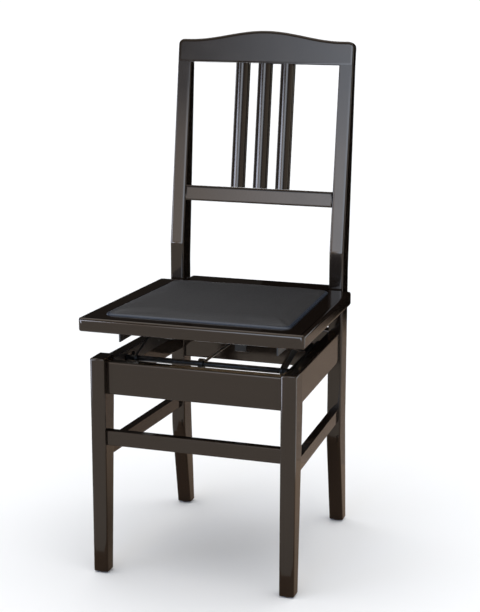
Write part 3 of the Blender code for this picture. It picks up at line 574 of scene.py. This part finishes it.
def shading(shape, node, slot, regions):
    """Parts off the rolled borders of lacquered faces and gives the normals of all face corners."""
    broad = {face for group, width in regions if width > BROAD_WIDTH for face in group}
    rolled = set()
    if slot == "black_lacquer":
        for group, width in regions:
            if width > ROLL_LEAST:
                rolled.update(roll_edges(shape, group))
    joined = set()
    if node.startswith("rear_post"):
        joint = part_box(node)[1].z - JOINT_REACH
        joined = {vertex for vertex in shape.verts if vertex.co.z > joint}
    shape.normal_update()
    return corner_normals(shape, broad, rolled, joined)


def smooth_copy(node, slot, rubbed):
    """A solid with even shading over its rounded edges, which are marked for wear."""
    shape = merged(node)
    shape.normal_update()
    for face in shape.faces:
        face.smooth = True
    regions = [(group, width_of(group)) for group in flat_regions(shape)]
    mark_wear(shape, regions, rubbed)
    normals = shading(shape, node, slot, regions)
    mesh = bpy.data.meshes.new(node)
    shape.to_mesh(mesh)
    shape.free()
    mesh.normals_split_custom_set(normals)
    piece = place_piece(f"{node}_finished", mesh, slot)
    return carry(piece, NODES[node]["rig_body"], slot, node)


def slot_of(node):
    """The finish that a solid has in the record."""
    return NODES[node].data.materials[0].name


def finish_solids():
    """Finishes every solid but the soft pad; those that are round all over have no rubbed edges."""
    for node in sorted(NODES):
        slot = slot_of(node)
        if slot == "grey_vinyl":
            continue
        turned = slot in ("zinc_plated_steel", "brown_nylon")
        smooth_copy(node, slot, rubbed=not (turned or node.startswith("back_slat")))


def recess_half(y):
    """Half the width of the pad's recess at a place along its depth."""
    share = (y - RECESS_FRONT) / (RECESS_REAR - RECESS_FRONT)
    return RECESS_HALF_FRONT + (RECESS_HALF_REAR - RECESS_HALF_FRONT) * share


def recess_loop(inset, radius, run_steps=1):
    """Points round the recess in plan, drawn in by an inset, with round corners."""
    front = RECESS_FRONT + inset
    rear = RECESS_REAR - inset
    corners = [
        Vector((-recess_half(front) + inset, front)),
        Vector((recess_half(front) - inset, front)),
        Vector((recess_half(rear) - inset, rear)),
        Vector((-recess_half(rear) + inset, rear)),
    ]
    arcs = []
    for index, here in enumerate(corners):
        before = (corners[index - 1] - here).normalized()
        after = (corners[(index + 1) % len(corners)] - here).normalized()
        half_angle = before.angle(after) / 2
        reach = radius / math.tan(half_angle)
        centre = here + (before + after).normalized() * radius / math.sin(half_angle)
        start = here + before * reach - centre
        end = here + after * reach - centre
        shares = [step / LOOP_CORNER_STEPS for step in range(LOOP_CORNER_STEPS + 1)]
        arcs.append([centre + start.slerp(end, share) * radius for share in shares])
    points = []
    for arc, following in zip(arcs, arcs[1:] + arcs[:1]):
        points += arc
        points += [arc[-1].lerp(following[0], step / run_steps) for step in range(1, run_steps)]
    return points


def inflate(pad, floor_level):
    """Blows the pad up a little as cloth that is held round its foot."""
    held = pad.vertex_groups.new(name="held")
    low = [vertex.index for vertex in pad.data.vertices if vertex.co.z < floor_level + PAD_HELD]
    held.add(low, 1.0, "REPLACE")
    start = [vertex.co.copy() for vertex in pad.data.vertices]
    cloth = pad.modifiers.new("blown_up", "CLOTH")
    cloth.settings.vertex_group_mass = "held"
    cloth.settings.use_pressure = True
    cloth.settings.uniform_pressure_force = PAD_PRESSURE
    cloth.settings.effector_weights.gravity = 0
    cloth.point_cache.frame_start = 1
    cloth.point_cache.frame_end = PAD_FRAMES
    for number in range(1, PAD_FRAMES + 1):
        bpy.context.scene.frame_set(number)
    mesh = plain_mesh(pad)
    bpy.context.scene.frame_set(1)
    pad.vertex_groups.clear()
    for vertex, origin in zip(mesh.vertices, start):
        move = vertex.co - origin
        if move.length > PAD_CAP:
            vertex.co = origin + move.normalized() * PAD_CAP


def swollen_pad():
    """The surface of the pad's foam, blown up as cloth from the pad's solid."""
    low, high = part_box("seat_pad")
    middle = (low + high) / 2
    shape = merged("seat_pad")
    for vertex in shape.verts:
        offset = vertex.co - middle
        vertex.co.x = middle.x + offset.x * (1 + PAD_SPREAD / (high.x - middle.x))
        vertex.co.y = middle.y + offset.y * (1 + PAD_SPREAD / (high.y - middle.y))
        vertex.co.z = low.z + (vertex.co.z - low.z) * PAD_START_HEIGHT
    mesh = bpy.data.meshes.new("foam")
    shape.to_mesh(mesh)
    shape.free()
    foam = place_piece("foam", mesh, "grey_vinyl")
    remesh = foam.modifiers.new("even_mesh", "REMESH")
    remesh.mode = "VOXEL"
    remesh.voxel_size = PAD_VOXEL
    plain_mesh(foam)
    inflate(foam, low.z)
    shape = bmesh.new()
    shape.from_mesh(foam.data)
    bpy.data.objects.remove(foam)
    for _ in range(PAD_SMOOTHING):
        bmesh.ops.smooth_vert(
            shape, verts=shape.verts, factor=PAD_SMOOTH_SHARE,
            use_axis_x=True, use_axis_y=True, use_axis_z=True,
        )
    surface = BVHTree.FromBMesh(shape)
    shape.free()
    return surface


def pad_rings():
    """Loops of the vinyl from the foot of its wall, over its rolled rim, to the pad's middle."""
    surface = swollen_pad()
    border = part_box("seat_frame")[1].z
    foot = border - PAD_SINK

    def loop_at(inset):
        return recess_loop(PAD_PLAY + inset, RECESS_CORNER, PAD_RUN_STEPS)

    def height(spot):
        above = Vector((spot.x, spot.y, 2 * border))  # well clear of the pad
        hit = surface.ray_cast(above, Vector((0, 0, -1)))[0]
        return hit.z if hit else border

    rings = [[Vector((*spot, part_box("seat_pad")[0].z)) for spot in loop_at(0)]]
    start = [height(spot) for spot in loop_at(PAD_ROLL)]
    rim = [max(level, border + PAD_SHOULDER) for level in start]
    lifts = [top - level for top, level in zip(rim, start)]
    for step in range(PAD_ROLL_STEPS + 1):
        turn = math.pi / 2 * step / PAD_ROLL_STEPS
        loop = loop_at(PAD_ROLL * (1 - math.cos(turn)))
        rise = math.sin(turn)
        rings.append([Vector((*spot, foot + (top - foot) * rise)) for spot, top in zip(loop, rim)])
    inset = PAD_ROLL
    stride = PAD_STRIDE
    while inset + stride < PAD_MIDDLE:
        inset += stride
        stride *= PAD_STRIDE_GROWTH
        fade = math.exp((PAD_ROLL - inset) / PAD_LIFT_FADE)
        spots = zip(loop_at(inset), lifts)
        rings.append([Vector((*spot, height(spot) + lift * fade)) for spot, lift in spots])
    return rings


def make_seat_pad():
    """A foam pad under tight vinyl, crowned, rolled over at its rim and let into the seat board."""
    shape = bmesh.new()
    # The rim rings are marked "edge": there the vinyl gets a painted bluish highlight in its
    # colour, and more gloss
    painted_rim_highlight = shape.verts.layers.float.new("edge")
    rings = [[shape.verts.new(spot) for spot in ring] for ring in pad_rings()]
    for ring in rings[1:PAD_ROLL_STEPS + 1]:
        for vertex in ring:
            vertex[painted_rim_highlight] = 1
    total = len(rings[0])
    for lower, upper in zip(rings, rings[1:]):
        for index in range(total):
            after = (index + 1) % total
            shape.faces.new((lower[index], lower[after], upper[after], upper[index]))
    for ring in (rings[0], rings[-1]):
        middle = shape.verts.new(sum((vertex.co for vertex in ring), Vector()) / total)
        for index in range(total):
            shape.faces.new((ring[index], ring[(index + 1) % total], middle))
    bmesh.ops.recalc_face_normals(shape, faces=shape.faces)
    for face in shape.faces:
        face.smooth = True
    mesh = bpy.data.meshes.new("vinyl_seat_pad")
    shape.to_mesh(mesh)
    shape.free()
    pad = place_piece("vinyl_seat_pad", mesh, "grey_vinyl")
    finer = pad.modifiers.new("finer", "SUBSURF")
    finer.levels = 1
    finer.render_levels = 1
    plain_mesh(pad)
    carry(pad, "seat", "grey_vinyl", "seat_pad")


def make_turn_in():
    """The vinyl's margin, turned in under the pad's board and cut a little unevenly."""
    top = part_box("pad_board")[0].z - TURN_IN_GAP
    outer = recess_loop(TURN_IN_OUTER, RECESS_CORNER)
    inner = recess_loop(TURN_IN_INNER, RECESS_CORNER)
    count = len(outer)
    shape = bmesh.new()
    rings = []
    for loop, sign in ((outer, 0), (inner, 1)):
        for level in (top, top - TURN_IN_THICKNESS):
            ring = []
            for index in range(count * TURN_IN_STEPS):
                start = loop[index // TURN_IN_STEPS]
                end = loop[(index // TURN_IN_STEPS + 1) % count]
                share = index % TURN_IN_STEPS / TURN_IN_STEPS
                spot = start.lerp(end, share)
                short, long = (math.sin(index * ripple) for ripple in TURN_IN_RIPPLES)
                wave = sign * TURN_IN_WAVE * short * long
                spot = spot * (1 + wave / spot.length)
                ring.append(shape.verts.new((spot.x, spot.y, level)))
            rings.append(ring)
    outer_top, outer_low, inner_top, inner_low = rings
    around = (outer_top, outer_low, inner_low, inner_top, outer_top)
    total = len(outer_top)
    for index in range(total):
        after = (index + 1) % total
        for a, b in zip(around, around[1:]):
            shape.faces.new((a[index], a[after], b[after], b[index]))
    bmesh.ops.recalc_face_normals(shape, faces=shape.faces)
    mesh = bpy.data.meshes.new("vinyl_turn_in")
    shape.to_mesh(mesh)
    shape.free()
    carry(place_piece("vinyl_turn_in", mesh, "grey_vinyl"), "seat", "grey_vinyl")
    return top - TURN_IN_THICKNESS


def new_tree(name, sizes):
    """A Geometry Nodes tree with named sizes, a material and one geometry in and out."""
    tree = bpy.data.node_groups.new(name, "GeometryNodeTree")
    tree.interface.new_socket("Geometry", in_out="INPUT", socket_type="NodeSocketGeometry")
    for size in sizes:
        tree.interface.new_socket(size, in_out="INPUT", socket_type="NodeSocketFloat")
    tree.interface.new_socket("Material", in_out="INPUT", socket_type="NodeSocketMaterial")
    tree.interface.new_socket("Geometry", in_out="OUTPUT", socket_type="NodeSocketGeometry")
    return tree, add(tree, "NodeGroupInput").outputs


def close_tree(tree, instances, material):
    """Makes the instances real and gives them their material."""
    real = add(tree, "GeometryNodeRealizeInstances", {"Geometry": instances})
    painted = add(
        tree, "GeometryNodeSetMaterial", {"Geometry": real.outputs[0], "Material": material}
    )
    add(tree, "NodeGroupOutput", {"Geometry": painted.outputs[0]})


def screw_tree():
    """Domed screw heads with a cross recess, one on each point, turned to its facing attribute."""
    tree, given = new_tree("screw_heads", ("Head Radius", "Head Height"))
    ball = add(
        tree, "GeometryNodeMeshUVSphere",
        {"Segments": HEAD_SIDES, "Rings": HEAD_RINGS, "Radius": 1.0},
    )
    spot = add(tree, "GeometryNodeInputPosition")
    parts = add(tree, "ShaderNodeSeparateXYZ", {0: spot.outputs[0]})
    level = add(tree, "ShaderNodeMath", {0: parts.outputs[2], 1: 0.0}, operation="MAXIMUM")
    pressed = add(
        tree, "ShaderNodeCombineXYZ",
        {0: parts.outputs[0], 1: parts.outputs[1], 2: level.outputs[0]},
    )
    dome = add(
        tree, "GeometryNodeSetPosition",
        {"Geometry": ball.outputs["Mesh"], "Position": pressed.outputs[0]},
    )
    recess = []
    for across in ((CROSS_LONG, CROSS_WIDE), (CROSS_WIDE, CROSS_LONG)):
        bar = add(tree, "GeometryNodeMeshCube", {"Size": (*across, CROSS_DEEP)})
        raised = add(
            tree, "GeometryNodeTransform",
            {"Geometry": bar.outputs["Mesh"], "Translation": (0, 0, 1.0)},
        )
        recess.append(raised.outputs[0])
    holed = add(
        tree, "GeometryNodeMeshBoolean", {"Mesh 1": dome.outputs[0]},
        operation="DIFFERENCE", solver="EXACT",
    )
    for bar in recess:
        tree.links.new(bar, holed.inputs["Mesh 2"])
    size = add(
        tree, "ShaderNodeCombineXYZ",
        {0: given["Head Radius"], 1: given["Head Radius"], 2: given["Head Height"]},
    )
    head = add(
        tree, "GeometryNodeTransform", {"Geometry": holed.outputs["Mesh"], "Scale": size.outputs[0]}
    )
    facing = add(
        tree, "GeometryNodeInputNamedAttribute", {"Name": "facing"}, data_type="FLOAT_VECTOR"
    )
    aim = add(tree, "FunctionNodeAlignRotationToVector", {"Vector": facing.outputs[0]}, axis="Z")
    heads = add(
        tree, "GeometryNodeInstanceOnPoints",
        {"Points": given["Geometry"], "Instance": head.outputs[0], "Rotation": aim.outputs[0]},
    )
    turn = add(
        tree, "FunctionNodeRandomValue",
        {"Min": (0, 0, 0), "Max": (0, 0, math.pi), "Seed": SCREW_SEED}, data_type="FLOAT_VECTOR",
    )
    driven = add(
        tree, "GeometryNodeRotateInstances",
        {"Instances": heads.outputs[0], "Rotation": turn.outputs[0]},
    )
    close_tree(tree, driven.outputs[0], given["Material"])
    return tree


def staple_tree():
    """Staple crowns spaced along a closed line."""
    tree, given = new_tree("staples", ("Crown", "Wire", "Height", "Spacing"))
    line = add(tree, "GeometryNodeMeshToCurve", {"Mesh": given["Geometry"]})
    spaced = add(
        tree, "GeometryNodeResampleCurve", {"Curve": line.outputs[0], "Length": given["Spacing"]},
        mode="LENGTH",
    )
    wire = add(
        tree, "GeometryNodeMeshCylinder",
        {"Vertices": STAPLE_SIDES, "Radius": 0.5, "Depth": 1.0}, fill_type="NGON",
    )
    laid = add(
        tree, "GeometryNodeTransform",
        {"Geometry": wire.outputs["Mesh"], "Rotation": (0, math.pi / 2, 0)},
    )
    size = add(
        tree, "ShaderNodeCombineXYZ", {0: given["Crown"], 1: given["Wire"], 2: given["Height"]}
    )
    crown = add(
        tree, "GeometryNodeTransform", {"Geometry": laid.outputs[0], "Scale": size.outputs[0]}
    )
    along = add(tree, "GeometryNodeInputTangent")
    aim = add(tree, "FunctionNodeAlignRotationToVector", {"Vector": along.outputs[0]}, axis="X")
    crowns = add(
        tree, "GeometryNodeInstanceOnPoints",
        {"Points": spaced.outputs[0], "Instance": crown.outputs[0], "Rotation": aim.outputs[0]},
    )
    tilt = add(
        tree, "FunctionNodeRandomValue",
        {"Min": (0, 0, -STAPLE_TILT), "Max": (0, 0, STAPLE_TILT), "Seed": STAPLE_SEED},
        data_type="FLOAT_VECTOR",
    )
    shot = add(
        tree, "GeometryNodeRotateInstances",
        {"Instances": crowns.outputs[0], "Rotation": tilt.outputs[0]},
    )
    close_tree(tree, shot.outputs[0], given["Material"])
    return tree


def grow(name, mesh, tree, sizes, finish, body):
    """Runs a Geometry Nodes tree on a mesh and keeps what it makes as a plain piece."""
    piece = place_piece(name, mesh, finish)
    modifier = piece.modifiers.new("grown", "NODES")
    modifier.node_group = tree
    given = {**sizes, "Material": FINISHES[finish]}
    for item in tree.interface.items_tree:
        if item.in_out == "INPUT" and item.name in given:
            modifier[item.identifier] = given[item.name]
    mesh = plain_mesh(piece)
    mesh.shade_smooth()
    mesh.set_sharp_from_angle(angle=SHARP_ANGLE)
    return carry(piece, body, finish)


def landing(node, start, direction):
    """Where a line from a start meets a solid, and the way its surface faces there."""
    shape = bmesh.new()
    shape.from_mesh(NODES[node].data)
    spot, normal, _, _ = BVHTree.FromBMesh(shape).ray_cast(Vector(start), Vector(direction))
    shape.free()
    return spot, normal


def screw_mesh(name, places):
    """Points for screws, each with the way that its head faces."""
    mesh = bpy.data.meshes.new(name)
    mesh.from_pydata([tuple(spot) for spot, _ in places], [], [])
    facing = mesh.attributes.new("facing", "FLOAT_VECTOR", "POINT")
    facing.data.foreach_set("vector", [part for _, normal in places for part in normal])
    return mesh


def make_screws():
    """Screws of the seat angles, pad ledge, rail plates and lock bracket, each on its surface."""
    tree = screw_tree()
    pan = {"Head Radius": PAN_HEAD_RADIUS, "Head Height": PAN_HEAD_HEIGHT}
    flat = {"Head Radius": FLAT_HEAD_RADIUS, "Head Height": FLAT_HEAD_HEIGHT}
    angles = []
    plates = []
    for word, side in (("left", -1), ("right", 1)):
        low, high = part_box(f"seat_angle_{word}")
        inner, outer = sorted((abs(low.x), abs(high.x)))
        flange = side * (inner + 2 * outer) / 3  # two thirds of the way out
        for along in ANGLE_SCREW_ALONG:
            angles.append(landing(f"seat_angle_{word}", (flange, along, low.z - MM), (0, 0, 1)))
        for along in PLATE_SCREW_ALONG:
            start = (0, along, PLATE_SCREW_HEIGHT)
            plates.append(landing(f"rail_plate_{word}", start, (side, 0, 0)))
    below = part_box("seat_frame")[0].z - MM
    ledge = []
    for across in LEDGE_SCREW_ACROSS:
        for along in (RECESS_FRONT + LEDGE_SCREW_INSET, RECESS_REAR - LEDGE_SCREW_INSET):
            ledge.append(landing("seat_frame", (across, along, below), (0, 0, 1)))
    bracket = []
    low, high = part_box("lock_bracket")
    for across in (-LOCK_SCREW_ACROSS, LOCK_SCREW_ACROSS):
        for height in LOCK_SCREW_HEIGHTS:
            start = ((low.x + high.x) / 2 + across, low.y, height)
            bracket.append(landing("lock_bracket", start, (0, 1, 0)))
    for name, places, sizes, body in (
        ("seat_screws", angles + ledge, pan, "seat"),
        ("plate_screws", plates, flat, "base"),
        ("lock_screws", bracket, pan, "base"),
    ):
        grow(name, screw_mesh(name, places), tree, sizes, "zinc_plated_steel", body)


def make_staples(level):
    """Staples round the vinyl's margin, at the level of its lower face."""
    loop = recess_loop((TURN_IN_OUTER + TURN_IN_INNER) / 2, RECESS_CORNER)
    mesh = bpy.data.meshes.new("staples")
    edges = [(index, (index + 1) % len(loop)) for index in range(len(loop))]
    mesh.from_pydata([(spot.x, spot.y, level) for spot in loop], edges, [])
    sizes = {
        "Crown": STAPLE_CROWN,
        "Wire": STAPLE_WIRE,
        "Height": STAPLE_HEIGHT,
        "Spacing": STAPLE_SPACING,
    }
    grow("pad_staples", mesh, staple_tree(), sizes, "zinc_plated_steel", "seat")


def make_camera():
    """The photograph's viewpoint."""
    data = bpy.data.cameras.new("camera")
    data.sensor_width = SENSOR_MM
    data.lens = FOCAL_PIXELS * SENSOR_MM / max(IMAGE_SIZE)
    data.clip_end = CAMERA_REACH
    camera = bpy.data.objects.new("camera", data)
    bpy.context.scene.collection.objects.link(camera)
    camera.location = CAMERA_PLACE
    camera.rotation_mode = "QUATERNION"
    level = (CAMERA_TARGET - CAMERA_PLACE).to_track_quat("-Z", "Y")
    camera.rotation_quaternion = level @ Quaternion((0, 0, 1), CAMERA_ROLL)
    bpy.context.scene.camera = camera


def band(tree, value, span, soft):
    """1 where a value lies in a span of degrees, falling softly to 0 outside it."""
    low, high = (math.radians(end) for end in span)
    blur = math.radians(soft)
    ends = []
    for edge, far in ((low, low - blur), (high, high + blur)):
        ends.append(add(
            tree, "ShaderNodeMapRange", {0: value, 1: far, 2: edge, 3: 0, 4: 1},
            interpolation_type="SMOOTHSTEP",
        ).outputs[0])
    return add(tree, "ShaderNodeMath", {0: ends[0], 1: ends[1]}, operation="MULTIPLY").outputs[0]


def make_studio():
    """A world of plain walls with soft windows under a bright ceiling."""
    world = bpy.data.worlds.new("studio")
    bpy.context.scene.world = world
    world.use_nodes = True
    tree = world.node_tree
    tree.nodes.clear()
    way = add(tree, "ShaderNodeTexCoord").outputs["Generated"]
    x, y, z = add(tree, "ShaderNodeSeparateXYZ", {0: way}).outputs
    front = add(tree, "ShaderNodeMath", {0: y, 1: -1.0}, operation="MULTIPLY").outputs[0]
    azimuth = add(tree, "ShaderNodeMath", {0: x, 1: front}, operation="ARCTAN2").outputs[0]
    elevation = add(tree, "ShaderNodeMath", {0: z}, operation="ARCSINE").outputs[0]
    rear = add(
        tree, "ShaderNodeMapRange", {0: y, 1: WALL_TURN[0], 2: WALL_TURN[1], 3: 0, 4: 1},
        interpolation_type="SMOOTHSTEP",
    )
    wall = add(
        tree, "ShaderNodeMix",
        {0: rear.outputs[0], 6: linear(FRONT_WALL_COLOUR), 7: linear(BACK_WALL_COLOUR)},
        data_type="RGBA",
    )
    low, high = (math.radians(end) for end in CEILING_STARTS)
    rise = add(
        tree, "ShaderNodeMapRange", {0: elevation, 1: low, 2: high, 3: 0, 4: 1},
        interpolation_type="SMOOTHSTEP",
    )
    ceiling = [part * CEILING_STRENGTH for part in linear(CEILING_COLOUR)]
    light = add(
        tree, "ShaderNodeMix",
        {0: rise.outputs[0], 6: wall.outputs[2], 7: ceiling}, data_type="RGBA",
    ).outputs[2]
    for azimuths, elevations, soft, colour, strength in WINDOWS:
        across = band(tree, azimuth, azimuths, soft)
        upright = band(tree, elevation, elevations, soft / 2)
        share = add(tree, "ShaderNodeMath", {0: across, 1: upright}, operation="MULTIPLY")
        glow = [part * strength for part in linear(colour)[:3]]
        pane = add(
            tree, "ShaderNodeVectorMath", {0: glow, "Scale": share.outputs[0]}, operation="SCALE"
        )
        light = add(
            tree, "ShaderNodeVectorMath", {0: light, 1: pane.outputs[0]}, operation="ADD"
        ).outputs[0]
    shine = add(tree, "ShaderNodeBackground", {"Color": light, "Strength": 1.0})
    add(tree, "ShaderNodeOutputWorld", {"Surface": shine.outputs[0]})


def place_stage(name, corners, material):
    """A flat studio piece that isn't part of the chair."""
    mesh = bpy.data.meshes.new(name)
    mesh.from_pydata(corners, [], [(0, 1, 2, 3)])
    mesh.materials.append(material)
    sheet = bpy.data.objects.new(name, mesh)
    bpy.context.scene.collection.objects.link(sheet)
    return sheet


def make_floor():
    """A matt white studio floor."""
    material, tree = blank_material("studio_floor")
    shader = add(tree, "ShaderNodeBsdfDiffuse", {"Color": linear(FLOOR_COLOUR)})
    add(tree, "ShaderNodeOutputMaterial", {"Surface": shader.outputs[0]})
    near, far = -FLOOR_HALF, FLOOR_HALF
    corners = [(x, y, FLOOR_LEVEL) for x, y in ((near, near), (far, near), (far, far), (near, far))]
    place_stage("studio_floor", corners, material)


def show_to_gloss_alone(sheet):
    """Lets only the lacquer's gloss see a studio piece, so that it hides the chair in no view."""
    sheet.visible_camera = False
    sheet.visible_diffuse = False
    sheet.visible_transmission = False
    sheet.visible_shadow = False


def make_screen():
    """A black cloth screen over a brown board, out of the picture behind the chair's right side."""
    material, tree = blank_material("studio_screen")
    spot = add(tree, "ShaderNodeTexCoord").outputs["Object"]
    height = add(tree, "ShaderNodeSeparateXYZ", {0: spot}).outputs[2]
    fade = add(
        tree, "ShaderNodeMapRange", {0: height, 1: SCREEN_FADE[0], 2: SCREEN_FADE[1], 3: 0, 4: 1},
        interpolation_type="SMOOTHSTEP",
    )
    colour = add(
        tree, "ShaderNodeMix",
        {0: fade.outputs[0], 6: linear(SCREEN_FOOT_COLOUR), 7: linear(SCREEN_TOP_COLOUR)},
        data_type="RGBA",
    )
    shader = add(tree, "ShaderNodeBsdfDiffuse", {"Color": colour.outputs[2]})
    add(tree, "ShaderNodeOutputMaterial", {"Surface": shader.outputs[0]})
    left, right = SCREEN_ACROSS
    corners = [
        (left, SCREEN_BEHIND, 0), (right, SCREEN_BEHIND, 0),
        (right, SCREEN_BEHIND, SCREEN_HEIGHT), (left, SCREEN_BEHIND, SCREEN_HEIGHT),
    ]
    show_to_gloss_alone(place_stage("studio_screen", corners, material))


def make_board():
    """A brown board that lies on the floor from under the chair to the screen."""
    material, tree = blank_material("studio_board")
    shader = add(tree, "ShaderNodeBsdfDiffuse", {"Color": linear(BOARD_COLOUR)})
    add(tree, "ShaderNodeOutputMaterial", {"Surface": shader.outputs[0]})
    left, right = BOARD_ACROSS
    corners = [
        (left, BOARD_FRONT, BOARD_LEVEL), (right, BOARD_FRONT, BOARD_LEVEL),
        (right, SCREEN_BEHIND, BOARD_LEVEL), (left, SCREEN_BEHIND, BOARD_LEVEL),
    ]
    show_to_gloss_alone(place_stage("studio_board", corners, material))


bpy.context.scene.view_settings.view_transform = "Standard"
make_camera()
make_studio()
make_floor()
make_screen()
make_board()
finish_solids()
make_seat_pad()
make_staples(make_turn_in())
make_screws()
